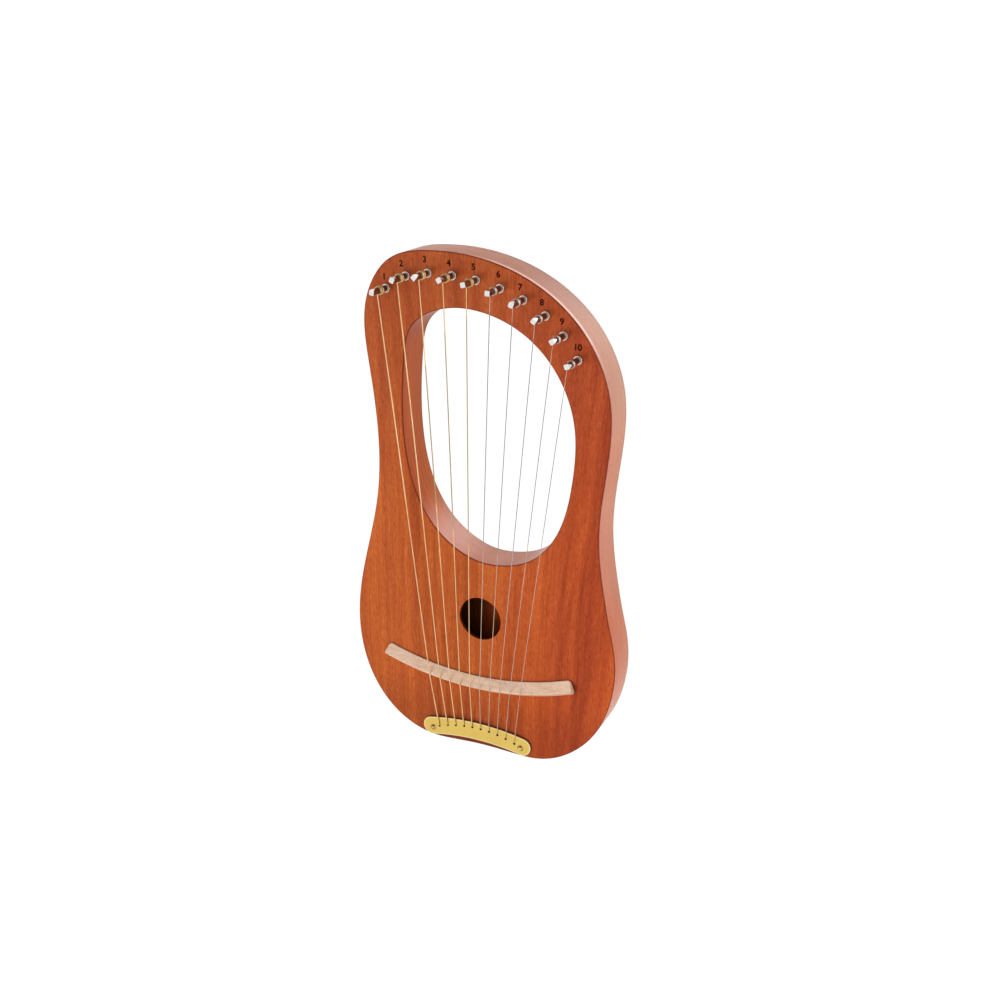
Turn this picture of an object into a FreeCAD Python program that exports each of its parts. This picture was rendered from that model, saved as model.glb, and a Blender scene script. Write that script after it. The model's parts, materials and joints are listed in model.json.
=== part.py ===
import FreeCAD, Part
import math
import os
import Sketcher

# Ten-string lyre harp: a hollow body with a large opening, tuning pins along the top,
# a curved bridge and a tail plate near the bottom.
# Millimetres. +X to the right for someone facing the front, +Y to the back, +Z up.
# The origin lies on the back face, on the axis of the sound hole.

V = FreeCAD.Vector
doc = FreeCAD.newDocument("lyre_harp")

# ------------------------------------------------------------------ driving dimensions
# alias, value, meaning
PARAMS = [
    ("body_depth", 32.7, "overall thickness of the body, front face to back face"),
    ("top_thick", 3.0, "soundboard thickness"),
    ("back_thick", 3.0, "back board thickness"),
    ("rim_wall", 4.0, "thickness of the outer and opening rims"),
    ("glue_gap", 0.05, "gap between the blocks and the rims"),
    ("edge_round", 1.0, "edge rounding of the boards"),
    ("sound_hole_r", 18.55, "sound hole radius"),
    ("block_low", 198.0, "lower end of the pin block"),
    ("pin_hole_deep", 20.0, "depth of the pin holes in the pin block"),
    ("tail_top", -90.0, "upper end of the tail block"),
    ("tail_half", 60.0, "half width of the tail block"),
    ("pin_r", 2.5, "tuning pin shaft radius"),
    ("pin_play", 0.04, "radial running clearance of a pin"),
    ("pin_out", 22.0, "tuning pin length standing out of the face"),
    ("pin_in", 22.0, "tuning pin length below the face"),
    ("head_long", 5.4, "length of the tapered square head"),
    ("head_tip", 3.7, "square across flats at the tip"),
    ("head_root", 5.3, "square across flats at the root of the taper"),
    ("head_dome_r", 6.0, "radius of the domed end of the head"),
    ("bush_r", 2.95, "radius of the bushing holes in the soundboard"),
    ("bush_flange_r", 3.45, "bushing flange radius"),
    ("bush_flange_h", 0.75, "bushing flange height above the face"),
    ("bush_long", 3.0, "bushing sleeve length below the face"),
    ("bridge_arc_r", 242.3, "radius of the upper edge of the bridge"),
    ("bridge_cx", -4.0, "bridge arc centre, across"),
    ("bridge_cz", 189.5, "bridge arc centre, up"),
    ("bridge_width", 12.6, "bridge width at the foot"),
    ("bridge_ridge", 8.2, "upper edge to ridge"),
    ("bridge_high", 6.0, "ridge height over the face"),
    ("bridge_lip", 0.9, "height of the upper edge of the bridge"),
    ("bridge_flat", 0.7, "width of the flat on the ridge"),
    ("bridge_left_deg", 19.5, "bridge arc left of centre"),
    ("bridge_right_deg", 20.2, "bridge arc right of centre"),
    ("bridge_corner", 2.4, "corner rounding of the bridge ends"),
    ("plate_thick", 1.6, "tail plate thickness"),
    ("plate_arc_r", 200.0, "tail plate centre line radius"),
    ("plate_half", 8.1, "half width of the tail plate"),
    ("plate_cx", -4.2, "tail plate centre, across"),
    ("plate_top_z", -105.3, "tail plate centre line at mid length"),
    ("plate_deg", 12.1, "half angle of the tail plate between end centres"),
    ("plate_hole_r", 1.15, "string hole radius"),
    ("string_edge_play", 0.05, "gap between a string and the upper side of its plate hole"),
    ("string_over_plate", 0.15, "gap between a string and the face of the plate"),
    ("plate_screw_r", 1.5, "screw hole radius in the plate"),
    ("plate_edge", 0.35, "tail plate edge rounding"),
    ("screw_head_r", 2.6, "screw head radius"),
    ("screw_head_h", 1.7, "screw head height"),
    ("screw_r", 1.3, "screw shank radius"),
    ("screw_long", 13.0, "nominal screw length and depth of its pilot hole"),
    ("screw_play", 0.05, "clearance of the screw pilot hole"),
    ("screw_slot_w", 0.7, "screw slot width"),
    ("screw_slot_d", 0.7, "screw slot depth"),
    ("screw_half", 40.9, "half the spacing of the two screws"),
    ("screw_z", -111.3, "height of the screws"),
    ("ball_r", 1.9, "ball end radius"),
    ("ball_long", 2.7, "ball end length"),
    ("ball_bore_r", 2.25, "radius of the ball end seats in the soundboard"),
    ("brace_wide", 7.0, "brace width"),
    ("brace_high", 7.0, "brace height"),
    ("brace_up_z", 33.0, "upper brace position"),
    ("brace_low_z", -30.0, "lower brace position"),
    ("back_brace_z", 40.0, "back brace position"),
    ("wrap_play", 0.03, "radial gap between a string and its pin"),
    ("turn_gap", 0.12, "axial gap between the lead-in turn and the coil"),
    ("cross_play", 0.15, "radial play of the wire in the cross hole of its pin"),
    ("coil_turns", 2.0, "whole turns of wire on each pin, to which a part turn is added"),
    ("coil_pitch_add", 0.04, "gap between neighbouring turns of a coil"),
]
# Per string, from string 1 (lowest) to string 10 (highest).
GAUGES = [0.94, 0.90, 0.86, 0.80, 0.76, 0.60, 0.57, 0.54, 0.51, 0.48]   # diameter
LEAD_HEIGHTS = [8.5, 8.5, 8.6, 9.6, 9.8, 10.6, 11.0, 11.8, 12.0, 12.2]  # lead-in turn over face
TAGS = ["%02d" % (i + 1) for i in range(len(GAUGES))]

for tag, gauge, lead in zip(TAGS, GAUGES, LEAD_HEIGHTS):
    PARAMS.append(("gauge_" + tag, gauge, "string diameter " + tag))
    PARAMS.append(("lead_" + tag, lead, "lead-in turn height " + tag))

sheet = doc.addObject("Spreadsheet::Sheet", "Params")
for row, (alias, value, note) in enumerate(PARAMS, 1):
    sheet.set("A%d" % row, note)
    sheet.set("B%d" % row, repr(value))
    sheet.setAlias("B%d" % row, alias)
doc.recompute()


def size(alias):
    return float(sheet.get(alias))


# ------------------------------------------------------------------ outlines and stations
# Points (x, z) of the body outline, clockwise seen from the front.
OUTLINE = [
    (100.74, 89.36), (101.63, 70.66), (104.00, 52.09), (107.17, 33.64), (110.79, 15.27), (114.88, -3.00),
    (116.94, -21.58), (115.84, -40.26), (111.97, -58.56), (105.14, -75.96), (94.98, -91.65), (81.62, -104.71),
    (65.64, -114.37), (47.59, -119.03), (28.88, -118.96), (10.18, -118.03), (-8.54, -118.05), (-27.23, -119.07),
    (-45.93, -119.03), (-63.97, -114.27), (-80.07, -104.81), (-93.23, -91.56), (-103.22, -75.76), (-110.05, -58.35),
    (-113.88, -40.05), (-115.05, -21.37), (-113.92, -2.69), (-110.93, 15.79), (-106.73, 34.03), (-101.98, 52.14),
    (-97.29, 70.27), (-93.33, 88.56), (-90.72, 107.10), (-89.55, 125.78), (-89.64, 144.50), (-90.78, 163.19),
    (-92.69, 181.81), (-95.12, 200.38), (-97.51, 218.95), (-98.31, 237.64), (-95.42, 256.09), (-87.61, 273.03),
    (-74.81, 286.53), (-57.52, 293.33), (-38.90, 295.15), (-20.18, 295.01), (-1.59, 292.88), (16.65, 288.70),
    (34.27, 282.41), (50.95, 273.93), (66.30, 263.23), (79.85, 250.35), (91.17, 235.45), (99.87, 218.90),
    (105.63, 201.11), (108.13, 182.58), (107.89, 163.87), (106.07, 145.23), (103.69, 126.66), (101.63, 108.05),
]
# Points (x, z) of the large opening, clockwise seen from the front.
OPENING = [
    (79.09, 170.47), (79.95, 156.30), (79.33, 142.12), (77.78, 128.01), (75.49, 114.00), (72.11, 100.21),
    (67.12, 86.93), (60.03, 74.66), (50.58, 64.09), (38.89, 56.10), (25.46, 51.61), (11.40, 49.76),
    (-2.71, 50.95), (-16.03, 55.78), (-28.13, 63.17), (-38.66, 72.67), (-47.31, 83.91), (-54.03, 96.40),
    (-58.99, 109.69), (-62.45, 123.46), (-64.67, 137.48), (-65.87, 151.63), (-66.25, 165.82), (-65.97, 180.02),
    (-65.15, 194.19), (-63.97, 208.34), (-62.12, 222.41), (-56.79, 235.47), (-46.36, 244.94), (-33.38, 250.63),
    (-19.47, 253.34), (-5.29, 253.18), (8.68, 250.74), (22.16, 246.31), (34.83, 239.92), (46.36, 231.66),
    (56.44, 221.68), (64.87, 210.27), (71.52, 197.74), (76.29, 184.38),
]
# Tuning pin axes (x, z), string 1 to string 10.
PINS = [
    (-77.4, 264.0), (-59.7, 274.6), (-41.0, 278.0), (-20.4, 277.6), (-0.8, 275.7),
    (18.7, 271.1), (37.3, 264.2), (55.0, 254.0), (69.3, 240.5), (80.8, 223.6),
]
# String holes of the tail plate (x, z), string 1 to string 10.
HOLES = [
    (-39.0, -108.2), (-31.0, -105.6), (-23.3, -103.9), (-15.4, -102.7), (-7.6, -102.0),
    (0.2, -102.0), (8.0, -102.6), (15.7, -103.8), (23.4, -105.6), (31.3, -108.2),
]
# Axes of the two tail plate screws (x, z).
SCREWS = [(size("plate_cx") + side * size("screw_half"), size("screw_z")) for side in (-1, 1)]

FRONT = -size("body_depth")     # y of the front face
OUTWARD = V(0, -1, 0)           # out of the front face
FLAT = 1e-3                     # an edge shorter than this along an axis is square to it

# Expressions shared by several features.
SOUNDBOARD_INSIDE = "Params.body_depth - Params.top_thick"
CAVITY_DEPTH = "Params.body_depth - Params.top_thick - Params.back_thick"


# ------------------------------------------------------------------ sketch and body helpers
def spline(points):
    """Closed smooth curve through (x, z) points, drawn in a sketch plane."""
    curve = Part.BSplineCurve()
    curve.interpolate(Points=[V(x, z, 0) for x, z in points], PeriodicFlag=True)
    return curve


def inset(points, distance):
    """Points at a distance inside (outside if negative) the curve through the given points."""
    curve = spline(points)
    count = 2 * len(points)
    first, last = curve.FirstParameter, curve.LastParameter
    params = [first + (last - first) * k / float(count) for k in range(count)]
    places = [curve.value(t) for t in params]
    tangents = [curve.tangent(t)[0] for t in params]
    twice_area = sum(a.x * b.y - b.x * a.y for a, b in zip(places, places[1:] + places[:1]))
    shift = distance if twice_area > 0 else -distance
    return [(q.x - shift * t.y, q.y + shift * t.x) for q, t in zip(places, tangents)]


def new_body(name):
    body = doc.addObject("PartDesign::Body", name)
    body.Label = name
    return body


def new_sketch(body, name, role="XZ_Plane", offset=None):
    """Sketch on an origin plane of the body, moved along its normal by an expression."""
    plane = next(f for f in body.Origin.OriginFeatures if f.Role == role)
    sketch = body.newObject("Sketcher::SketchObject", name)
    sketch.AttachmentSupport = [(plane, "")]
    sketch.MapMode = "FlatFace"
    if offset:
        sketch.setExpression("AttachmentOffset.Base.z", offset)
    return sketch


def add_circles(sketch, centres, *aliases):
    """Circles whose radius is bound to the sum of the named dimensions."""
    radius = sum(size(alias) for alias in aliases)
    expression = " + ".join("Params." + alias for alias in aliases)
    for x, z in centres:
        index = sketch.addGeometry(Part.Circle(V(x, z, 0), V(0, 0, 1), radius), False)
        constraint = sketch.addConstraint(Sketcher.Constraint("Radius", index, radius))
        sketch.setExpression("Constraints[%d]" % constraint, expression)


def add_polygon(sketch, points):
    for a, b in zip(points, points[1:] + points[:1]):
        sketch.addGeometry(Part.LineSegment(V(a[0], a[1], 0), V(b[0], b[1], 0)), False)


def add_feature(body, kind, name, sketch):
    """Sketch-based PartDesign feature that becomes the tip of the body."""
    feature = body.newObject("PartDesign::" + kind, name)
    feature.Profile = sketch
    body.Tip = feature
    sketch.Visibility = False
    return feature


def pad(body, sketch, name, length):
    feature = add_feature(body, "Pad", name, sketch)
    feature.setExpression("Length", length)
    return feature


def slab(name, outlines, length, offset=None, holes=()):
    """Body padded forward from smooth outlines and groups of (centres, radius aliases)."""
    body = new_body(name)
    sketch = new_sketch(body, name + "_sk", offset=offset)
    for points in outlines:
        sketch.addGeometry(spline(points), False)
    for centres, aliases in holes:
        add_circles(sketch, centres, *aliases)
    return body, pad(body, sketch, name + "_pad", length)


def cut_through(body, name, points):
    """Remove a polygon of (x, z) points through the whole depth."""
    sketch = new_sketch(body, name + "_sk")
    add_polygon(sketch, points)
    cut = add_feature(body, "Pocket", name, sketch)
    cut.Type = "ThroughAll"
    cut.Midplane = True


def drill(body, name, centres, aliases, depth):
    """Round holes going back from the inner face of the soundboard."""
    sketch = new_sketch(body, name + "_sk", offset=SOUNDBOARD_INSIDE)
    add_circles(sketch, centres, *aliases)
    pocket = add_feature(body, "Pocket", name, sketch)
    pocket.setExpression("Length", depth)


def edges_where(shape, test):
    return ["Edge%d" % k for k, edge in enumerate(shape.Edges, 1) if test(edge)]


def round_edges(body, base, name, edges, radius):
    fillet = body.newObject("PartDesign::Fillet", name)
    fillet.Base = (base, edges)
    fillet.setExpression("Radius", radius)
    body.Tip = fillet


def round_face_rim(body, base, name, y, min_length, radius):
    """Round the edges that lie in the plane y and are longer than min_length."""
    doc.recompute()

    def on_rim(edge):
        box = edge.BoundBox
        return abs(box.YMin - y) < 1e-4 and abs(box.YMax - y) < 1e-4 and edge.Length > min_length

    round_edges(body, base, name, edges_where(base.Shape, on_rim), radius)


# ------------------------------------------------------------------ boards and rims
BOARD_RIM_MIN = 300.0   # only the outline and the opening are longer than this


def make_boards():
    body, base = slab(
        "soundboard", [OUTLINE, OPENING], "Params.top_thick", SOUNDBOARD_INSIDE,
        holes=[
            ([(0, 0)], ["sound_hole_r"]),
            (PINS, ["bush_r"]),
            (HOLES, ["ball_bore_r"]),
            (SCREWS, ["screw_r", "screw_play"]),
        ])
    round_face_rim(body, base, "soundboard_round", FRONT, BOARD_RIM_MIN, "Params.edge_round")

    body, base = slab("back_board", [OUTLINE, OPENING], "Params.back_thick")
    round_face_rim(body, base, "back_board_round", 0.0, BOARD_RIM_MIN, "Params.edge_round")


def make_rims():
    wall = size("rim_wall")
    slab("outer_rim", [OUTLINE, inset(OUTLINE, wall)], CAVITY_DEPTH, "Params.back_thick")
    slab("opening_rim", [OPENING, inset(OPENING, -wall)], CAVITY_DEPTH, "Params.back_thick")


# ------------------------------------------------------------------ blocks inside the rims
BLOCK_INSET = size("rim_wall") + size("glue_gap")
PIN_CUT_REACH = 140     # the waste outlines reach past the body
TAIL_CUT_REACH = 150
TAIL_CUT_TOP = 320


def make_pin_block():
    outlines = [inset(OUTLINE, BLOCK_INSET), inset(OPENING, -BLOCK_INSET)]
    body, _ = slab("pin_block", outlines, CAVITY_DEPTH, "Params.back_thick")
    reach, low = PIN_CUT_REACH, size("block_low")
    cut_through(body, "pin_block_cut",
                [(-reach, -reach), (reach, -reach), (reach, low), (-reach, low)])
    drill(body, "pin_block_holes", PINS, ["pin_r", "pin_play"], "Params.pin_hole_deep")


def make_tail_block():
    body, _ = slab("tail_block", [inset(OUTLINE, BLOCK_INSET)], CAVITY_DEPTH,
                   "Params.back_thick")
    reach, half, top = TAIL_CUT_REACH, size("tail_half"), size("tail_top")
    cut_through(body, "tail_block_cut", [
        (-half, -reach), (-half, top), (half, top), (half, -reach),
        (reach, -reach), (reach, TAIL_CUT_TOP), (-reach, TAIL_CUT_TOP), (-reach, -reach),
    ])
    drill(body, "tail_block_pilot", SCREWS, ["screw_r", "screw_play"], "Params.screw_long")


# ------------------------------------------------------------------ braces
BRACE_END_HIGH = 2.0    # height left at the ends
BRACE_SLOPE = 16        # length of the sloped ends


def make_brace(name, z_alias, half, board_y, inward):
    """Bar across the body on a board; inward is the sign of y that leads off the board."""
    body = new_body(name)
    sketch = new_sketch(body, name + "_sk", "XY_Plane",
                        "Params.%s - Params.brace_wide / 2" % z_alias)
    end_y = board_y + inward * BRACE_END_HIGH
    crest_y = board_y + inward * size("brace_high")
    add_polygon(sketch, [
        (-half, board_y), (half, board_y), (half, end_y), (half - BRACE_SLOPE, crest_y),
        (-half + BRACE_SLOPE, crest_y), (-half, end_y),
    ])
    pad(body, sketch, name + "_pad", "Params.brace_wide")


def make_braces():
    soundboard_y = FRONT + size("top_thick")
    make_brace("brace_upper", "brace_up_z", 99.0, soundboard_y, 1.0)
    make_brace("brace_lower", "brace_low_z", 107.0, soundboard_y, 1.0)
    make_brace("back_brace", "back_brace_z", 98.0, -size("back_thick"), -1.0)


# ------------------------------------------------------------------ bridge
RIDGE_R = size("bridge_arc_r") + size("bridge_ridge")
ROOF_SIDE_OVERCUT = 5       # the turned waste reaches past both long edges
ROOF_FRONT_OVERCUT = 3      # and past the ridge
ROOF_BACK_OVERCUT = 0.4     # and behind the foot


def make_bridge():
    """Arched bar of roof-shaped section, drawn about its arc centre, moved onto the face."""
    upper_r = size("bridge_arc_r")
    lower_r = upper_r + size("bridge_width")
    left = -math.radians(size("bridge_left_deg"))
    right = math.radians(size("bridge_right_deg"))

    def on_arc(radius, angle):
        return V(radius * math.sin(angle), -radius * math.cos(angle), 0)

    body = new_body("bridge")
    sketch = new_sketch(body, "bridge_sk")
    for start_r, start, end_r, end in ((upper_r, left, lower_r, right),
                                       (lower_r, right, upper_r, left)):
        corner = on_arc(start_r, end)
        arc = Part.Arc(on_arc(start_r, start), on_arc(start_r, 0), corner)
        sketch.addGeometry(arc, False)
        sketch.addGeometry(Part.LineSegment(corner, on_arc(end_r, end)), False)
    base = pad(body, sketch, "bridge_pad", "Params.bridge_high")
    doc.recompute()

    high = size("bridge_high")

    def is_corner(edge):
        box = edge.BoundBox
        return abs(box.YLength - high) < FLAT and box.XLength < FLAT

    corners = edges_where(base.Shape, is_corner)
    round_edges(body, base, "bridge_corners", corners, "Params.bridge_corner")

    # the waste on both sides of the ridge is turned away about the arc centre
    sketch = new_sketch(body, "bridge_roof_sk", "YZ_Plane")
    half_flat = size("bridge_flat") / 2.0
    lip_y = -size("bridge_lip")
    beyond_y = -high - ROOF_FRONT_OVERCUT
    behind_y = ROOF_BACK_OVERCUT
    above = -(upper_r - ROOF_SIDE_OVERCUT)
    below = -(lower_r + ROOF_SIDE_OVERCUT)
    ridge_above = -(RIDGE_R - half_flat)
    ridge_below = -(RIDGE_R + half_flat)
    foot = -(lower_r + behind_y * (lower_r - RIDGE_R) / high)
    add_polygon(sketch, [
        (lip_y, above), (lip_y, -upper_r), (-high, ridge_above), (beyond_y, ridge_above),
        (beyond_y, above),
    ])
    add_polygon(sketch, [
        (behind_y, below), (beyond_y, below), (beyond_y, ridge_below), (-high, ridge_below),
        (behind_y, foot),
    ])
    groove = add_feature(body, "Groove", "bridge_roof", sketch)
    groove.ReferenceAxis = (sketch, ["H_Axis"])
    groove.Angle = 360.0
    body.Placement = FreeCAD.Placement(
        V(size("bridge_cx"), FRONT, size("bridge_cz")), FreeCAD.Rotation())


# ------------------------------------------------------------------ tail plate
PLATE_RIM_MIN = 15.0    # longer than the hole edges, shorter than the round ends


def make_tail_plate():
    """Arched plate with round ends on the front face."""
    arc_r, half = size("plate_arc_r"), size("plate_half")
    angle = math.radians(size("plate_deg"))
    centre_z = size("plate_top_z") - arc_r

    def on_arc(radius, turned):
        return V(size("plate_cx") + radius * math.sin(turned),
                 centre_z + radius * math.cos(turned), 0)

    body = new_body("tailpiece_plate")
    sketch = new_sketch(body, "tailpiece_plate_sk", offset="Params.body_depth")
    upper_r, lower_r = arc_r + half, arc_r - half
    for radius in (upper_r, lower_r):
        arc = Part.Arc(on_arc(radius, -angle), on_arc(radius, 0), on_arc(radius, angle))
        sketch.addGeometry(arc, False)
    for side in (-1, 1):
        end = side * angle
        tip = on_arc(arc_r, end) + V(side * half * math.cos(angle), -half * math.sin(angle), 0)
        sketch.addGeometry(Part.Arc(on_arc(upper_r, end), tip, on_arc(lower_r, end)), False)
    add_circles(sketch, HOLES, "plate_hole_r")
    add_circles(sketch, SCREWS, "plate_screw_r")
    base = pad(body, sketch, "tailpiece_plate_pad", "Params.plate_thick")
    round_face_rim(body, base, "tailpiece_plate_round", FRONT - size("plate_thick"),
                   PLATE_RIM_MIN, "Params.plate_edge")


# ------------------------------------------------------------------ turned parts
def add_shape(name, shape):
    item = doc.addObject("Part::Feature", name)
    item.Label = name
    item.Shape = shape


def over_face(x, height, z):
    """Point at a height over the front face."""
    return V(x, FRONT - height, z)


def rod(x, z, radius, low, high):
    """Cylinder square to the front face between two heights over it."""
    return Part.makeCylinder(radius, high - low, over_face(x, low, z), OUTWARD)


def wire_radius(i):
    return size("gauge_" + TAGS[i]) / 2


def hole_shift(i):
    """A string lies against the upper side of its plate hole, this far over the middle."""
    return size("plate_hole_r") - wire_radius(i) - size("string_edge_play")


TAPER_START = 1.5       # start of the screw taper, short of the nominal length
TAPER_LONG = 2.5
TAPER_TIP_R = 0.2
SHANK_OVERLAP = 0.2     # shank reaching into the head
SLOT_OVERCUT = 1        # slot cutter past the head, all round
SLOT_DEGREES = [32, -41]    # turn of the slot, left screw and right screw


def make_screw(x, z, slot_degrees):
    """Slotted round-head screw with a tapered end."""
    seat = size("plate_thick")
    head_r, head_h = size("screw_head_r"), size("screw_head_h")
    top = seat + head_h
    ball_r = (head_r * head_r + head_h * head_h) / (2 * head_h)
    ball = Part.makeSphere(ball_r, over_face(x, top - ball_r, z))
    head = ball.common(rod(x, z, head_r, seat, top + 1))
    taper = seat - size("screw_long") + TAPER_START
    shank = rod(x, z, size("screw_r"), taper, seat + SHANK_OVERLAP)
    tip = Part.makeCone(size("screw_r"), TAPER_TIP_R, TAPER_LONG, over_face(x, taper, z),
                        V(0, 1, 0))
    screw = head.fuse(shank).fuse(tip).removeSplitter()
    corner = over_face(x - head_r - SLOT_OVERCUT, top + SLOT_OVERCUT,
                       z - size("screw_slot_w") / 2)
    slot = Part.makeBox(2 * (head_r + SLOT_OVERCUT), size("screw_slot_d") + SLOT_OVERCUT,
                        size("screw_slot_w"), corner)
    slot.rotate(over_face(x, 0, z), V(0, 1, 0), slot_degrees)
    return screw.cut(slot)


BUSH_GAP = 0.01         # radial gap between a sleeve and its hole
BUSH_OVERLAP = 0.1      # sleeve reaching into the flange
BUSH_ROUND = 0.35       # rounding of the flange


def make_bushing(x, z):
    """Flanged sleeve around a tuning pin."""
    low, flange_h = -size("bush_long"), size("bush_flange_h")
    sleeve = rod(x, z, size("bush_r") - BUSH_GAP, low, BUSH_OVERLAP)
    flange = rod(x, z, size("bush_flange_r"), 0.0, flange_h)
    top = [edge for edge in flange.Edges
           if abs(edge.BoundBox.YMin - (FRONT - flange_h)) < 1e-4
           and edge.BoundBox.YLength < FLAT]
    flange = flange.makeFillet(BUSH_ROUND, top)
    bore = rod(x, z, size("pin_r") + size("pin_play"), low - 1, 5)
    return sleeve.fuse(flange).removeSplitter().cut(bore)


BALL_SUNK = 0.1         # ball end below the front face
BALL_ROUND = 0.5        # rounding of its rims
BALL_WIRE_GAP = 0.05    # radial gap around the string


def make_ball_end(i):
    """Rounded barrel behind the plate, bored where the string passes."""
    x, z = HOLES[i]
    barrel = rod(x, z, size("ball_r"), -BALL_SUNK - size("ball_long"), -BALL_SUNK)
    rims = [edge for edge in barrel.Edges if edge.BoundBox.YLength < FLAT]
    barrel = barrel.makeFillet(BALL_ROUND, rims)
    return barrel.cut(rod(x, z + hole_shift(i), wire_radius(i) + BALL_WIRE_GAP, -5, 1))


def make_turned_parts():
    screws = [make_screw(x, z, degrees) for (x, z), degrees in zip(SCREWS, SLOT_DEGREES)]
    add_shape("tailpiece_screws", Part.Compound(screws))
    add_shape("pin_bushings", Part.Compound([make_bushing(x, z) for x, z in PINS]))
    balls = [make_ball_end(i) for i in range(len(HOLES))]
    add_shape("string_ball_ends", Part.Compound(balls))


# ------------------------------------------------------------------ string paths
STRING_START = -1.6         # height of the string's end, inside the ball end
RIDGE_GAP = 0.03            # gap between a string and the ridge
RIDGE_BEND_R = 5.0          # string centre line over the ridge
TIGHT_BEND_ADD = 0.2        # added to the wire radius at the plate and the cross hole
LEAD_ANGLE = math.radians(282.0)    # lead-in turn around the pin
COIL_EARLY = math.radians(18.0)     # the coil ends this far before the +X side of the pin
ARC_STEP = math.radians(90.0)       # largest piece of coil drawn as one pair of arcs
WIRE_END = 0.4              # the wire ends this far short of the pin axis


def wrap_radius(i):
    """Centre line radius of the wire around its pin."""
    return size("pin_r") + size("wrap_play") + wire_radius(i)


def wrap_start(i, hole_x, hole_z):
    """Plan point (x, z) where the line from the hole touches the left of the wrap circle."""
    pin_x, pin_z = PINS[i]
    radius = wrap_radius(i)
    dx, dz = hole_x - pin_x, hole_z - pin_z
    towards_hole = math.atan2(dz, dx)
    swing = math.acos(radius / math.hypot(dx, dz))
    angles = [towards_hole - swing, towards_hole + swing]
    return min((pin_x + radius * math.cos(a), pin_z + radius * math.sin(a)) for a in angles)


def ridge_point(a, b):
    """Where the plan line from a to b first crosses the ridge of the bridge."""
    dx, dz = b[0] - a[0], b[1] - a[1]
    from_x, from_z = a[0] - size("bridge_cx"), a[1] - size("bridge_cz")
    square = dx * dx + dz * dz
    linear = 2 * (from_x * dx + from_z * dz)
    constant = from_x * from_x + from_z * from_z - RIDGE_R ** 2
    t = (-linear - math.sqrt(linear * linear - 4 * square * constant)) / (2 * square)
    return a[0] + dx * t, a[1] + dz * t


def bend(before, corner, after, radius):
    """Start, middle and end of the arc that rounds a corner."""
    back = (before - corner).normalize()
    ahead = (after - corner).normalize()
    half_angle = math.acos(max(-1.0, min(1.0, back.dot(ahead)))) / 2.0
    reach = radius / math.tan(half_angle)
    bisector = (back + ahead).normalize()
    centre = corner + bisector * (radius / math.sin(half_angle))
    return corner + back * reach, centre - bisector * radius, corner + ahead * reach


def arc_from(a, along, b):
    """Arc from a to b that leaves a in the direction along."""
    chord = b - a
    side = along.cross(chord).cross(along).normalize()
    radius = chord.dot(chord) / (2 * chord.dot(side))
    centre = a + side * radius
    middle = centre + ((a - centre) + (b - centre)).normalize() * radius
    return Part.Arc(a, middle, b).toShape()


def arc_pair(a, along_a, b, along_b):
    """Two arcs that join a to b and touch two different directions there."""
    chord = b - a
    square = 2 * (1 - along_a.dot(along_b))
    linear = 2 * chord.dot(along_a + along_b)
    constant = -chord.dot(chord)
    reach = (-linear + math.sqrt(linear * linear - 4 * square * constant)) / (2 * square)
    near_a, near_b = a + along_a * reach, b - along_b * reach
    joint = (near_a + near_b) * 0.5
    return [arc_from(a, along_a, joint), arc_from(joint, (near_b - near_a).normalize(), b)]


def run_path(i):
    """String from ball end over the bridge and once around the pin: edges, start, end."""
    radius, wrap_r = wire_radius(i), wrap_radius(i)
    pin_x, pin_z = PINS[i]
    hole_x, hole_z = HOLES[i][0], HOLES[i][1] + hole_shift(i)
    touch_x, touch_z = wrap_start(i, hole_x, hole_z)
    ridge_x, ridge_z = ridge_point((hole_x, hole_z), (touch_x, touch_z))
    start = over_face(hole_x, STRING_START, hole_z)
    plate_height = size("plate_thick") + size("string_over_plate") + radius
    plate = over_face(hole_x, plate_height, hole_z)
    ridge = over_face(ridge_x, size("bridge_high") + radius + RIDGE_GAP, ridge_z)
    touch = over_face(touch_x, size("lead_" + TAGS[i]), touch_z)
    plate_bend = bend(start, plate, ridge, radius + TIGHT_BEND_ADD)
    ridge_bend = bend(plate, ridge, touch, RIDGE_BEND_R)
    along = (touch - ridge).normalize()
    inward = V(pin_x - touch_x, 0, pin_z - touch_z).normalize()
    centre = touch + inward * wrap_r

    def lead_point(angle):
        return centre - inward * (wrap_r * math.cos(angle)) + along * (wrap_r * math.sin(angle))

    end = lead_point(LEAD_ANGLE)
    edges = [
        Part.makeLine(start, plate_bend[0]),
        Part.Arc(*plate_bend).toShape(),
        Part.makeLine(plate_bend[2], ridge_bend[0]),
        Part.Arc(*ridge_bend).toShape(),
        Part.makeLine(ridge_bend[2], touch),
        Part.Arc(touch, lead_point(LEAD_ANGLE / 2), end).toShape(),
    ]
    return edges, start, end


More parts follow.
